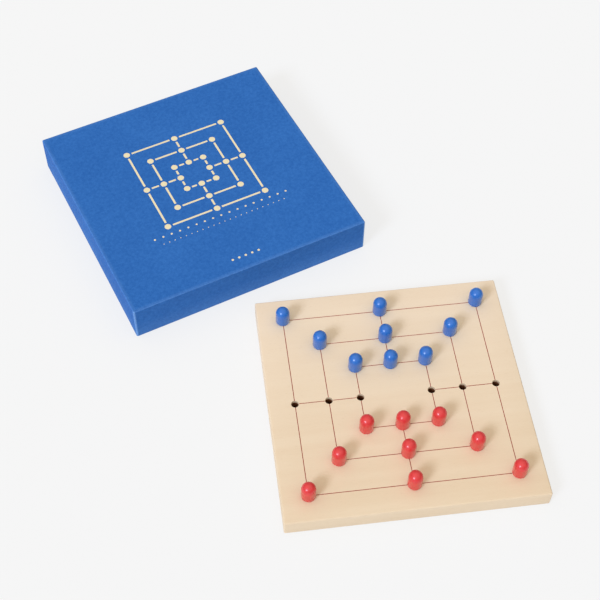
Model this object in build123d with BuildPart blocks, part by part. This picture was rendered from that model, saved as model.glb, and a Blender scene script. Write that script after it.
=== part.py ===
from build123d import *

import os
from math import cos, radians, sin

# Boxed peg game: a rigid card box with a full-depth lift-off lid, its card insert and
# rules leaflet, and the wooden playing board that stands beside it with all its pegs in.
# Millimetres, +Z up. The origin is the centre of the box's underside, X and Y run along
# the box's sides, and the playing board stands in front of the box, on the same table.

# ---------------------------------------------------------------------------
# Driving dimensions
# ---------------------------------------------------------------------------

# Playing board
board_side = 190.0  # square, edge to edge
board_thickness = 14.7
board_edge_radius = 1.2  # softening of every outer edge
outer_line_margin = 19.65  # from the board's edge to the outer square's lines
middle_line_margin = 25.2  # from there to the middle square's
inner_line_margin = 23.55  # and from there to the inner square's
hole_diameter = 5.6  # blind peg holes
hole_depth = 9.5
line_width = 0.6  # engraved lines of the three squares and their links
line_depth = 0.25

# Where the playing board stands beside the box
board_gap = 21.0  # between the lid's front side and the board's nearest corner
board_shift = 48.5  # of the board's centre to the right of the box's centre
board_turn = -19.7  # degrees about +Z

# Pegs
peg_diameter = 10.6
peg_height = 15.2  # from the shoulder to the top of the dome
peg_foot_chamfer = 0.4  # eased edge under the head
spigot_length = 8.0
spigot_clearance = 0.1  # radial, in the hole
spigot_chamfer = 0.6

# Box: greyboard covered with paper
greyboard = 1.5
wrap_paper = 0.2  # outer covering, also turned down inside the walls
liner_paper = 0.2  # sheet on the floor of the tray and inside the lid's top
lid_clearance = 0.35  # between the tray's and the lid's walls, per side
lid_edge_radius = 1.0  # outer edges of the wrapped lid
tray_edge_radius = 0.8  # outer edges of the wrapped tray
rim_gap = 0.5  # between the lid's rim and the table
stay_tape = 0.1  # corner stays: paper tape pressed into the greyboard
stay_width = 14.0  # on each side of a corner
stay_margin = 2.5  # from the stay's ends to the ends of the wall

# What the box holds
bay_clearance = 0.85  # between the stored playing board and the tray, per side
head_room = 1.5  # over the stored playing board
insert_card = 0.6
insert_clearance = 0.3  # between the insert and the tray, per side
insert_fold_radius = 0.5  # outside of the card's folds
well_head_room = 0.8  # over a peg that lies in the well
well_width = 50.0
well_length = 160.0
well_margin = 14.0  # between the well and the insert's right-hand edge
leaflet_width = 105.0  # folded
leaflet_length = 148.0
leaflet_sheet = 0.2
leaflet_gap = 0.2  # between the leaves of the folded sheet
leaflet_margin = 14.0  # between the leaflet and the insert's left-hand edge

# ---------------------------------------------------------------------------
# Sizes that follow
# ---------------------------------------------------------------------------

# Box, from the stored playing board outwards
bay_side = board_side + 2 * bay_clearance
tray_core_inside = bay_side + 2 * wrap_paper
tray_core_outside = tray_core_inside + 2 * greyboard
tray_side = tray_core_outside + 2 * wrap_paper
lid_bore_side = tray_side + 2 * lid_clearance
lid_core_inside = lid_bore_side + 2 * wrap_paper
lid_core_outside = lid_core_inside + 2 * greyboard
lid_side = lid_core_outside + 2 * wrap_paper

# Box, from the table upwards
tray_core_floor = wrap_paper + greyboard
tray_floor = tray_core_floor + liner_paper
insert_height = peg_diameter + well_head_room
insert_top = tray_floor + insert_height
leaflet_thickness = 2 * leaflet_sheet + leaflet_gap
tray_rim = insert_top + leaflet_thickness + board_thickness + head_room
lid_core_ceiling = tray_rim + liner_paper
lid_core_top = lid_core_ceiling + greyboard
lid_top = lid_core_top + wrap_paper
lid_core_rim = rim_gap + wrap_paper

# Insert and leaflet
insert_side = bay_side - 2 * insert_clearance
well_x = insert_side / 2 - well_margin - well_width / 2
leaflet_left = -insert_side / 2 + leaflet_margin

# Playing board
board_reach = board_side / 2 * (cos(radians(board_turn)) + abs(sin(radians(board_turn))))
board_origin = (board_shift, -lid_side / 2 - board_gap - board_reach, 0)
board_direction = (cos(radians(board_turn)), sin(radians(board_turn)), 0)
board_bottom_plane = Plane(origin=board_origin, x_dir=board_direction, z_dir=(0, 0, 1))
board_top_plane = board_bottom_plane.offset(board_thickness)

# The three nested squares, by the length of a side from line centre to line centre
outer_square = board_side - 2 * outer_line_margin
middle_square = outer_square - 2 * middle_line_margin
inner_square = middle_square - 2 * inner_line_margin
squares = (outer_square, middle_square, inner_square)

# The far row of points on each square holds the blue pegs, the near row the red ones, and
# the points at the middle of the left and right sides are free.
far_points = [(side * square / 2, square / 2) for square in squares for side in (-1, 0, 1)]
near_points = [(x, -y) for x, y in far_points]
free_points = [(side * square / 2, 0) for square in squares for side in (-1, 1)]

# Pegs
peg_radius = peg_diameter / 2
spigot_radius = hole_diameter / 2 - spigot_clearance


def corner_tape(core_side, core_edge_radius, low, high):
    """Return the four strips of paper tape that hold the corners of a folded greyboard.

    They are sunk into the corners of a square core of side core_side, between the
    heights low and high, flush with its outside.
    """
    straight = core_side - 2 * stay_width
    with BuildPart() as tape:
        with BuildSketch(Plane.XY.offset(low)):
            RectangleRounded(core_side, core_side, core_edge_radius)
            RectangleRounded(
                core_side - 2 * stay_tape,
                core_side - 2 * stay_tape,
                core_edge_radius - stay_tape,
                mode=Mode.SUBTRACT,
            )
            Rectangle(straight, core_side, mode=Mode.SUBTRACT)
            Rectangle(core_side, straight, mode=Mode.SUBTRACT)
        extrude(amount=high - low)
    return tape.part


def finish(part, name):
    """Label a finished piece and write it under its own name."""
    part.label = name
    export_step(part, f"parts/{name}.step")


# ---------------------------------------------------------------------------
# Base tray
# ---------------------------------------------------------------------------

tray_core_radius = tray_edge_radius - wrap_paper
tray_core_rim = tray_rim - wrap_paper

with BuildPart() as tray_corner_stays:
    add(
        corner_tape(
            tray_core_outside,
            tray_core_radius,
            wrap_paper + stay_margin,
            tray_core_rim - stay_margin,
        )
    )

with BuildPart() as tray_greyboard:
    with BuildSketch(Plane.XY.offset(wrap_paper)):
        RectangleRounded(tray_core_outside, tray_core_outside, tray_core_radius)
    extrude(amount=tray_core_rim - wrap_paper)
    fillet(tray_greyboard.faces().sort_by(Axis.Z)[0].edges(), radius=tray_core_radius)
    with BuildSketch(Plane.XY.offset(tray_core_floor)):
        Rectangle(tray_core_inside, tray_core_inside)
    extrude(amount=tray_core_rim - tray_core_floor, mode=Mode.SUBTRACT)
    add(tray_corner_stays.part, mode=Mode.SUBTRACT)

with BuildPart() as tray_wrap:
    with BuildSketch():
        RectangleRounded(tray_side, tray_side, tray_edge_radius)
    extrude(amount=tray_rim)
    fillet(tray_wrap.faces().sort_by(Axis.Z)[0].edges(), radius=tray_edge_radius)
    with BuildSketch(Plane.XY.offset(tray_core_floor)):
        Rectangle(bay_side, bay_side)
    extrude(amount=tray_rim - tray_core_floor, mode=Mode.SUBTRACT)
    add(tray_greyboard.part, mode=Mode.SUBTRACT)
    add(tray_corner_stays.part, mode=Mode.SUBTRACT)

with BuildPart() as tray_floor_liner:
    with BuildSketch(Plane.XY.offset(tray_core_floor)):
        Rectangle(bay_side, bay_side)
    extrude(amount=liner_paper)

finish(tray_corner_stays.part, "tray_corner_stays")
finish(tray_greyboard.part, "tray_greyboard")
finish(tray_wrap.part, "tray_wrap")
finish(tray_floor_liner.part, "tray_floor_liner")

# ---------------------------------------------------------------------------
# Insert and rules leaflet
# ---------------------------------------------------------------------------

with BuildPart() as insert_platform:
    with BuildSketch(Plane.XY.offset(tray_floor)):
        Rectangle(insert_side, insert_side)
    extrude(amount=insert_height)
    fillet(insert_platform.faces().sort_by(Axis.Z)[-1].edges(), radius=insert_fold_radius)
    with BuildSketch(Plane.XY.offset(tray_floor)):
        with Locations((well_x, 0)):
            Rectangle(well_width, well_length)
    extrude(amount=insert_height, mode=Mode.SUBTRACT)
    with BuildSketch(Plane.XY.offset(tray_floor)):
        Rectangle(insert_side - 2 * insert_card, insert_side - 2 * insert_card)
        with Locations((well_x, 0)):
            Rectangle(
                well_width + 2 * insert_card,
                well_length + 2 * insert_card,
                mode=Mode.SUBTRACT,
            )
    extrude(amount=insert_height - insert_card, mode=Mode.SUBTRACT)

leaflet_end = Plane(
    origin=(leaflet_left, leaflet_length / 2, insert_top), x_dir=(1, 0, 0), z_dir=(0, -1, 0)
)
fold_radius = leaflet_thickness / 2
with BuildPart() as rules_leaflet:
    with BuildSketch(leaflet_end):
        with BuildLine():
            lower = Polyline(
                (fold_radius, 0),
                (leaflet_width, 0),
                (leaflet_width, leaflet_sheet),
                (fold_radius, leaflet_sheet),
            )
            inner_bend = ThreePointArc(
                lower @ 1,
                (leaflet_sheet, fold_radius),
                (fold_radius, leaflet_sheet + leaflet_gap),
            )
            upper = Polyline(
                inner_bend @ 1,
                (leaflet_width, leaflet_sheet + leaflet_gap),
                (leaflet_width, leaflet_thickness),
                (fold_radius, leaflet_thickness),
            )
            ThreePointArc(upper @ 1, (0, fold_radius), lower @ 0)
        make_face()
    extrude(amount=leaflet_length)

finish(insert_platform.part, "insert_platform")
finish(rules_leaflet.part, "rules_leaflet")

# ---------------------------------------------------------------------------
# Lid
# ---------------------------------------------------------------------------

lid_core_radius = lid_edge_radius - wrap_paper

with BuildPart() as lid_corner_stays:
    add(
        corner_tape(
            lid_core_outside,
            lid_core_radius,
            lid_core_rim + stay_margin,
            lid_core_top - stay_margin,
        )
    )

with BuildPart() as lid_greyboard:
    with BuildSketch(Plane.XY.offset(lid_core_rim)):
        RectangleRounded(lid_core_outside, lid_core_outside, lid_core_radius)
    extrude(amount=lid_core_top - lid_core_rim)
    fillet(lid_greyboard.faces().sort_by(Axis.Z)[-1].edges(), radius=lid_core_radius)
    with BuildSketch(Plane.XY.offset(lid_core_rim)):
        Rectangle(lid_core_inside, lid_core_inside)
    extrude(amount=lid_core_ceiling - lid_core_rim, mode=Mode.SUBTRACT)
    add(lid_corner_stays.part, mode=Mode.SUBTRACT)

with BuildPart() as lid_wrap:
    with BuildSketch(Plane.XY.offset(rim_gap)):
        RectangleRounded(lid_side, lid_side, lid_edge_radius)
    extrude(amount=lid_top - rim_gap)
    fillet(lid_wrap.faces().sort_by(Axis.Z)[-1].edges(), radius=lid_edge_radius)
    with BuildSketch(Plane.XY.offset(rim_gap)):
        Rectangle(lid_bore_side, lid_bore_side)
    extrude(amount=lid_core_ceiling - rim_gap, mode=Mode.SUBTRACT)
    add(lid_greyboard.part, mode=Mode.SUBTRACT)
    add(lid_corner_stays.part, mode=Mode.SUBTRACT)

with BuildPart() as lid_liner:
    with BuildSketch(Plane.XY.offset(tray_rim)):
        Rectangle(lid_bore_side, lid_bore_side)
    extrude(amount=liner_paper)

finish(lid_corner_stays.part, "lid_corner_stays")
finish(lid_greyboard.part, "lid_greyboard")
finish(lid_wrap.part, "lid_wrap")
finish(lid_liner.part, "lid_liner")

# ---------------------------------------------------------------------------
# Playing board
# ---------------------------------------------------------------------------

with BuildPart() as playing_board:
    with BuildSketch(board_bottom_plane):
        Rectangle(board_side, board_side)
    extrude(amount=board_thickness)
    fillet(playing_board.edges(), radius=board_edge_radius)
    # Engraved lines: each square is a narrow ring, from the largest inwards, and four
    # short links join the middles of their sides.
    with BuildSketch(board_top_plane):
        for square in squares:
            Rectangle(square + line_width, square + line_width)
            Rectangle(square - line_width, square - line_width, mode=Mode.SUBTRACT)
        with PolarLocations((outer_square + inner_square) / 4, 4):
            Rectangle((outer_square - inner_square) / 2, line_width)
    extrude(amount=-line_depth, mode=Mode.SUBTRACT)
    with BuildSketch(board_top_plane):
        with Locations(*far_points, *free_points, *near_points):
            Circle(hole_diameter / 2)
    extrude(amount=-hole_depth, mode=Mode.SUBTRACT)

finish(playing_board.part, "playing_board")

# ---------------------------------------------------------------------------
# Pegs
# ---------------------------------------------------------------------------


def turned_peg(seat):
    """Return one peg, a single turned piece, standing with its spigot in the hole at seat.

    seat is a plane whose origin is the middle of the hole's mouth and whose Z points out.
    """
    profile_plane = Plane(origin=seat.origin, x_dir=seat.x_dir, z_dir=-seat.y_dir)
    with BuildPart() as peg:
        with BuildSketch(profile_plane):
            with BuildLine():
                flank = Polyline(
                    (0, -spigot_length),
                    (spigot_radius - spigot_chamfer, -spigot_length),
                    (spigot_radius, -spigot_length + spigot_chamfer),
                    (spigot_radius, 0),
                    (peg_radius - peg_foot_chamfer, 0),
                    (peg_radius, peg_foot_chamfer),
                    (peg_radius, peg_height - peg_radius),
                )
                dome = CenterArc((0, peg_height - peg_radius), peg_radius, 0, 90)
                Line(dome @ 1, flank @ 0)
            make_face()
        revolve(axis=Axis(seat.origin, seat.z_dir))
    return peg.part


for colour, points in (("blue", far_points), ("red", near_points)):
    for number, (x, y) in enumerate(points, start=1):
        seat = Plane(
            origin=board_top_plane.from_local_coords((x, y, 0)),
            x_dir=board_top_plane.x_dir,
            z_dir=board_top_plane.z_dir,
        )
        finish(turned_peg(seat), f"{colour}_peg_{number}")
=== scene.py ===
"""Looks of a boxed peg game: a paper-covered card box and the wooden board that stands by it.

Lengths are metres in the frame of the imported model: +Z up, the table at z = 0, the box
centred on the origin with X and Y along its sides, the playing board turned in front of it.
"""

import logging
import math
from dataclasses import dataclass
from enum import Enum
from typing import Any

import bmesh
import bpy
import numpy as np
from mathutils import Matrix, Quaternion, Vector


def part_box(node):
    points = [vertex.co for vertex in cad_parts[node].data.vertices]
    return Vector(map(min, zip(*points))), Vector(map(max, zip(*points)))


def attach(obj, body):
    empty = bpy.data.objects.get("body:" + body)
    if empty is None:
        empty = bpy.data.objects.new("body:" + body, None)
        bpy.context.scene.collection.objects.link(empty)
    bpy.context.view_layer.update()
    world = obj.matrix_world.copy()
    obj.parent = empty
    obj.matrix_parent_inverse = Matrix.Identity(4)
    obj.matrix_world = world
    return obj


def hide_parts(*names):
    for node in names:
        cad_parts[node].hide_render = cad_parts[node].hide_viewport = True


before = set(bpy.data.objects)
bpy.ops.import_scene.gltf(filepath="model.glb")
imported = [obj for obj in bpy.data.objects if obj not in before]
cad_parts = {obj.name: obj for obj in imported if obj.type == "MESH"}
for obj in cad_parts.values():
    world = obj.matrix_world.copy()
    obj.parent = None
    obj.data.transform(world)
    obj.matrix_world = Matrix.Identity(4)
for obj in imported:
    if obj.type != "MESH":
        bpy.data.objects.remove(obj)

LOG = logging.getLogger("boxed_game")

MM = 0.001
QUARTER = math.pi / 2
WELD_DISTANCE = 0.002 * MM
SHARP_ANGLE = math.radians(38.0)
MARKS_AND_LIGHT = "marks_and_light"  # point attribute, 0 to 1: rubbing and painted highlight, burnt lines, painted shade in holes
NOISE_SPREAD = (0.3, 0.7)  # nearly all values of a noise lie between these two
PEGS_A_SIDE = 9

Pair = tuple[float, float]
Triple = tuple[float, float, float]
Colour = tuple[float, float, float, float]
Socket = bpy.types.NodeSocket
Finish = bpy.types.Material
Piece = bpy.types.Object

WHITE: Colour = (1.0, 1.0, 1.0, 1.0)
BLACK: Colour = (0.0, 0.0, 0.0, 1.0)


def linear(red: float, green: float, blue: float) -> Colour:
    """Turn an sRGB colour into the linear values that shaders take.

    Args:
        red: Red from 0 to 255.
        green: Green from 0 to 255.
        blue: Blue from 0 to 255.

    Returns:
        Linear red, green, blue and an alpha of 1.
    """
    channels = np.array([red, green, blue]) / 255.0
    low = channels / 12.92
    high = ((channels + 0.055) / 1.055) ** 2.4
    mixed = np.where(channels <= 0.04045, low, high)
    return (float(mixed[0]), float(mixed[1]), float(mixed[2]), 1.0)


class PegColour(Enum):
    """The two sides of the game, by the word that their nodes' names start with."""

    BLUE = "blue"
    RED = "red"


class Opening(Enum):
    """Which way a box half opens, as the sign of the step from its panel to its rim."""

    DOWN = -1
    UP = 1


# ---- Shapes ----


def arc(start: float, end: float, steps: int) -> np.ndarray:
    """Angles that divide an arc evenly, both ends included.

    Args:
        start: First angle in radians.
        end: Last angle in radians.
        steps: Number of equal parts.

    Returns:
        steps + 1 angles.
    """
    return np.linspace(start, end, steps + 1)


def ease(value: np.ndarray) -> np.ndarray:
    """Smooth step: 0 below 0, 1 above 1, and 3v^2 - 2v^3 between."""
    held = np.clip(value, 0.0, 1.0)
    return held * held * (3.0 - 2.0 * held)


@dataclass(frozen=True)
class RoundedLoop:
    """A closed path round a rectangle that turns on the spot at each corner.

    It runs counter-clockwise seen from above. along goes round the unit square and waits at
    each corner while outward turns through a right angle, so that a point carried at half
    size h with corner radius r lies at (h - r) * along + r * outward.
    """

    along: np.ndarray
    outward: np.ndarray

    @classmethod
    def through(cls, stops: np.ndarray, corner_steps: int) -> "RoundedLoop":
        """Make the path with the same stops along each of its four sides.

        Args:
            stops: Stops along a side, rising from -1 to 1, the same both ways.
            corner_steps: Equal parts of each corner's quarter turn.

        Returns:
            The path, as unit positions and unit normals.
        """
        along, outward = [], []
        for side in range(4):
            turn = side * QUARTER
            cos, sin = round(math.cos(turn)), round(math.sin(turn))
            along.append(np.stack([cos * stops + sin, sin * stops - cos], 1))
            outward.append(np.tile([sin, -cos], (len(stops), 1)).astype(float))
            bend = arc(turn - QUARTER, turn, corner_steps)[1:-1]
            outward.append(np.stack([np.cos(bend), np.sin(bend)], 1))
            along.append(np.tile(along[-1][-1], (len(bend), 1)))
        return cls(np.concatenate(along), np.concatenate(outward))

    def carry(
        self,
        half_x: np.ndarray,
        half_y: np.ndarray,
        radius: np.ndarray,
        height: np.ndarray,
    ) -> np.ndarray:
        """Carry a profile round the path.

        Args:
            half_x: Half size along X at each point of the profile.
            half_y: Half size along Y at each point of the profile.
            radius: Corner radius at each point of the profile.
            height: Z at each point of the profile.

        Returns:
            Points of shape (path, profile, 3): (h - r) * along + r * outward, at z = height.
        """
        x = np.outer(self.along[:, 0], half_x - radius) + np.outer(self.outward[:, 0], radius)
        y = np.outer(self.along[:, 1], half_y - radius) + np.outer(self.outward[:, 1], radius)
        return np.stack([x, y, np.broadcast_to(height, x.shape)], 2)


def flat_sheet(x_stops: np.ndarray, y_stops: np.ndarray, height: float) -> np.ndarray:
    """Points of a level rectangle: every pair of an X stop and a Y stop, at one height.

    Args:
        x_stops: X of the grid lines.
        y_stops: Y of the grid lines.
        height: Z of the sheet.

    Returns:
        Points of shape (x stops, y stops, 3).
    """
    x, y = np.meshgrid(x_stops, y_stops, indexing="ij")
    return np.stack([x, y, np.full_like(x, height)], 2)


def spun(out: np.ndarray, up: np.ndarray, segments: int, centre: Pair = (0.0, 0.0)) -> np.ndarray:
    """Turn an outline about an upright axis: x = out cos t, y = out sin t and z = up.

    Args:
        out: Distance from the axis at each point of the outline.
        up: Z at each point of the outline.
        segments: Number of equal steps of t round the axis.
        centre: X and Y of the axis.

    Returns:
        Points of shape (segments, outline, 3).
    """
    around = np.linspace(0.0, 2 * math.pi, segments, endpoint=False)
    x = np.outer(np.cos(around), out) + centre[0]
    y = np.outer(np.sin(around), out) + centre[1]
    return np.stack([x, y, np.broadcast_to(up, x.shape)], 2)


class Skin:
    """Gathers grids of points and makes one closed, welded mesh of them."""

    def __init__(self) -> None:
        """Start with no surface."""
        self._points: list[np.ndarray] = []
        self._marks_and_light: list[np.ndarray] = []
        self._quads: list[np.ndarray] = []
        self._finish: list[np.ndarray] = []
        self._count = 0

    def grid(
        self,
        points: np.ndarray,
        finish: int = 0,
        marks_and_light: np.ndarray | float = 0.0,
        closed: bool = False,
        keep: np.ndarray | None = None,
    ) -> None:
        """Add a grid of quads.

        Args:
            points: Points of shape (u, v, 3).
            finish: Index of the finish that the quads take.
            marks_and_light: Its share at each point, or one value for all: rubbing with painted
                highlight, burnt line, painted shade.
            closed: Whether the last row in u joins the first.
            keep: Which quads to make, of shape (u - 1, v - 1), or None for all.
        """
        rows, columns = points.shape[:2]
        index = np.arange(rows * columns).reshape(rows, columns) + self._count
        if closed:
            index = np.concatenate([index, index[:1]])
        quads = np.stack([index[:-1, :-1], index[1:, :-1], index[1:, 1:], index[:-1, 1:]], 2)
        chosen = quads.reshape(-1, 4) if keep is None else quads[keep]
        self._points.append(points.reshape(-1, 3))
        self._marks_and_light.append(np.broadcast_to(marks_and_light, (rows, columns)).reshape(-1))
        self._quads.append(chosen)
        self._finish.append(np.full(len(chosen), finish))
        self._count += rows * columns

    def piece(self, name: str, finishes: list[Finish]) -> Piece:
        """Weld the grids into one mesh object with its place in its mesh.

        Args:
            name: Name of the piece.
            finishes: Its finishes, in the order of the grids' finish numbers.

        Returns:
            The object, smooth except at real edges, with its faces outwards.
        """
        points, quads = np.concatenate(self._points), np.concatenate(self._quads)
        mesh = bpy.data.meshes.new(name)
        mesh.from_pydata(points.tolist(), [], quads.tolist())
        marks_and_light = np.concatenate(self._marks_and_light).astype(np.float32)
        mesh.attributes.new(MARKS_AND_LIGHT, "FLOAT", "POINT").data.foreach_set("value", marks_and_light)
        mesh.polygons.foreach_set("material_index", np.concatenate(self._finish).astype(np.int32))
        for finish in finishes:
            mesh.materials.append(finish)
        shell = bmesh.new()
        shell.from_mesh(mesh)
        bmesh.ops.remove_doubles(shell, verts=shell.verts, dist=WELD_DISTANCE)
        bmesh.ops.recalc_face_normals(shell, faces=shell.faces)
        shell.to_mesh(mesh)
        shell.free()
        mesh.polygons.foreach_set("use_smooth", np.ones(len(mesh.polygons), bool))
        mesh.set_sharp_from_angle(angle=SHARP_ANGLE)
        made = bpy.data.objects.new(name, mesh)
        bpy.context.scene.collection.objects.link(made)
        return made


def turned(points: np.ndarray, turn: float, centre: Vector) -> np.ndarray:
    """Turn points about +Z and move them.

    Args:
        points: Points of any shape that ends in 3.
        turn: Angle in radians.
        centre: Where the points' own origin goes.

    Returns:
        The points in their new place, in an array of the same shape.
    """
    cos, sin = math.cos(turn), math.sin(turn)
    x = cos * points[..., 0] - sin * points[..., 1] + centre.x
    y = sin * points[..., 0] + cos * points[..., 1] + centre.y
    return np.stack([x, y, points[..., 2] + centre.z], -1)


def seat(piece: Piece, body: str, slot: str, *nodes: str) -> None:
    """Hang a piece on its body and hide the nodes that it replaces.

    Args:
        piece: The new piece.
        body: Body that it moves with.
        slot: Not used.
        nodes: Nodes that it replaces, if any.
    """
    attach(piece, body)
    if nodes:
        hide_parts(*nodes)
    LOG.info("%s rides on %s, %d faces", piece.name, body, len(piece.data.polygons))


# ---- Finishes ----


class Nodes:
    """Lays out shader nodes in one tree."""

    def __init__(self, tree: bpy.types.NodeTree) -> None:
        """Take the tree that the nodes go into."""
        self.tree = tree

    def add(
        self, kind: str, inputs: dict[str | int, Any] | None = None, **settings: Any
    ) -> bpy.types.Node:
        """Add a node.

        Args:
            kind: Type of the node.
            inputs: Sockets to link or values to set, by the input's name or number.
            settings: The node's own settings.

        Returns:
            The node.
        """
        node = self.tree.nodes.new(kind)
        for key, value in settings.items():
            setattr(node, key, value)
        for key, value in (inputs or {}).items():
            if isinstance(value, Socket):
                self.tree.links.new(value, node.inputs[key])
            else:
                node.inputs[key].default_value = value
        return node

    def calc(self, operation: str, first: Socket | float, second: Socket | float = 0.0) -> Socket:
        """One sum on one or two values."""
        return self.add("ShaderNodeMath", {0: first, 1: second}, operation=operation).outputs[0]

    def dot(self, vector: Socket, axis: Triple) -> Socket:
        """Dot product of a vector and a fixed axis."""
        node = self.add("ShaderNodeVectorMath", {0: vector, 1: axis}, operation="DOT_PRODUCT")
        return node.outputs["Value"]


class Graph(Nodes):
    """Lays out the shader nodes of one material."""

    def __init__(self, name: str) -> None:
        """Start a material that has only its principled shader.

        Args:
            name: Name of the material.
        """
        self.material = bpy.data.materials.new(name)
        self.material.use_nodes = True
        super().__init__(self.material.node_tree)
        self.shader = self.tree.nodes["Principled BSDF"]

    def place(self, turn: float = 0.0, stretch: Triple = (1.0, 1.0, 1.0)) -> Socket:
        """Object coordinates, turned about Z and then stretched.

        Args:
            turn: Angle in radians.
            stretch: Factors along the turned axes.

        Returns:
            The vector socket.
        """
        source = self.add("ShaderNodeTexCoord").outputs["Object"]
        squared = self.add("ShaderNodeMapping", {"Vector": source, "Rotation": (0.0, 0.0, turn)})
        scaled = self.add("ShaderNodeMapping", {"Vector": squared.outputs[0], "Scale": stretch})
        return scaled.outputs[0]

    def noise(self, where: Socket, size: float, detail: float = 2.0, rough: float = 0.5) -> Socket:
        """Soft noise from 0 to 1 with features of about the given size.

        Args:
            where: Vector socket.
            size: Size of the largest features, in metres.
            detail: Octaves.
            rough: Share that each octave keeps of the last one's strength.

        Returns:
            The value socket.
        """
        inputs = {"Vector": where, "Scale": 1.0 / size, "Detail": detail, "Roughness": rough}
        return self.add("ShaderNodeTexNoise", inputs).outputs[0]

    def ramp(self, value: Socket, span: Pair, onto: Pair = (0.0, 1.0)) -> Socket:
        """Map a range of values onto another, held at its ends.

        Args:
            value: Value socket.
            span: First and last value of the range.
            onto: What these two become.

        Returns:
            The value socket.
        """
        inputs = {0: value, 1: span[0], 2: span[1], 3: onto[0], 4: onto[1]}
        return self.add("ShaderNodeMapRange", inputs).outputs[0]

    def mix(self, share: Socket, first: Socket | Colour, second: Socket | Colour) -> Socket:
        """Blend two colours: share 0 gives the first, share 1 the second."""
        inputs = {0: share, 6: first, 7: second}  # 6 and 7 are the node's colour inputs
        return self.add("ShaderNodeMix", inputs, data_type="RGBA").outputs[2]

    def mark(self, name: str) -> Socket:
        """The value of a point attribute."""
        return self.add("ShaderNodeAttribute", attribute_name=name).outputs["Fac"]

    def threads(self, where: Socket, pitch: float) -> Socket:
        """Height of crossed threads: the sum of one sine wave along each axis.

        Args:
            where: Vector socket.
            pitch: Distance from thread to thread, in metres.

        Returns:
            The value socket, from -3 to 3.
        """
        split = self.add("ShaderNodeSeparateXYZ", {0: where})
        waves = [
            self.calc("SINE", self.calc("MULTIPLY", axis, 2.0 * math.pi / pitch))
            for axis in split.outputs
        ]
        return self.calc("ADD", self.calc("ADD", waves[0], waves[1]), waves[2])

    def paint(self, colour: Socket, height: Socket | None = None, relief: float = 0.0) -> None:
        """Give the shader its colour, and tilt its normal by a height.

        Args:
            colour: Colour socket.
            height: Value socket, or None for an even surface.
            relief: Height in metres that a value of 1 stands for.
        """
        self.tree.links.new(colour, self.shader.inputs["Base Color"])
        if height is not None:
            bump = self.add("ShaderNodeBump", {"Height": height, "Distance": relief})
            self.tree.links.new(bump.outputs[0], self.shader.inputs["Normal"])

    def finish(self, **values: Any) -> Finish:
        """Set the shader's inputs that are the same all over.

        Args:
            values: Inputs by name, with _ for a space.

        Returns:
            The material.
        """
        for name, value in values.items():
            socket_name = name.replace("_", " ").title().replace("Ior", "IOR")
            self.shader.inputs[socket_name].default_value = value
        return self.material


@dataclass(frozen=True)
class CoveringPaper:
    """Dyed paper with an embossed linen weave, paler where its folds are worn and painted with a
    highlight.
    """

    name: str
    deep: Colour
    pale: Colour
    # pale colour of worn paper, also laid on as a painted highlight along folds, edges and corners
    worn_highlight: Colour
    fibre_size: float = 0.55 * MM
    fleck_size: float = 2.4 * MM
    fine_share: float = 0.42
    cloud_size: float = 38.0 * MM
    cloud_share: float = 0.16
    rub_highlight_span: Pair = (0.35, 0.6)
    rub_highlight_least: float = 0.35
    thread_pitch: float = 0.42 * MM
    thread_share: float = 0.33
    relief: float = 0.035 * MM

    def material(self) -> Finish:
        """Build the material: fibres, flecks and broad clouds in the dye, pale rubbing with a painted
        highlight where the point attribute is set, and threads in the relief.

        Returns:
            The material.
        """
        graph = Graph(self.name)
        where = graph.place()
        fibre = graph.noise(where, self.fibre_size, detail=3.0, rough=0.65)
        fleck = graph.noise(where, self.fleck_size, detail=2.0, rough=0.6)
        cloud = graph.noise(where, self.cloud_size)
        fibre_tone = graph.ramp(fibre, NOISE_SPREAD, (0.0, self.fine_share))
        fleck_tone = graph.ramp(fleck, NOISE_SPREAD, (0.0, self.fine_share))
        cloud_tone = graph.ramp(cloud, NOISE_SPREAD, (0.0, self.cloud_share))
        tone = graph.calc("ADD", graph.calc("ADD", fibre_tone, fleck_tone), cloud_tone)
        # pale rubbing and painted highlight where the point attribute is set, broken up by the fibres
        broken = graph.ramp(fibre, self.rub_highlight_span, (self.rub_highlight_least, 1.0))
        rub_and_highlight = graph.calc("MULTIPLY", graph.mark(MARKS_AND_LIGHT), broken)
        colour = graph.mix(rub_and_highlight, graph.mix(tone, self.deep, self.pale), self.worn_highlight)
        weave = graph.calc("MULTIPLY", graph.threads(where, self.thread_pitch), self.thread_share)
        graph.paint(colour, graph.calc("ADD", weave, fibre), self.relief)
        return graph.finish(roughness=0.8, ior=1.3)


@dataclass(frozen=True)
class PlainPaper:
    """Uncoated paper, card or board: short fibres in a few tones."""

    name: str
    colour: Colour
    speck: Colour
    speck_share: float = 0.25
    speck_span: Pair = (0.52, 0.72)
    fibre_size: float = 0.9 * MM
    relief: float = 0.01 * MM

    def material(self) -> Finish:
        """Build the material: specks of another tone, and a faint tooth.

        Returns:
            The material.
        """
        graph = Graph(self.name)
        fibre = graph.noise(graph.place(), self.fibre_size, detail=4.0, rough=0.7)
        specks = graph.ramp(fibre, self.speck_span, (0.0, self.speck_share))
        colour = graph.mix(specks, self.colour, self.speck)
        graph.paint(colour, fibre, self.relief)
        return graph.finish(roughness=0.85)


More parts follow.
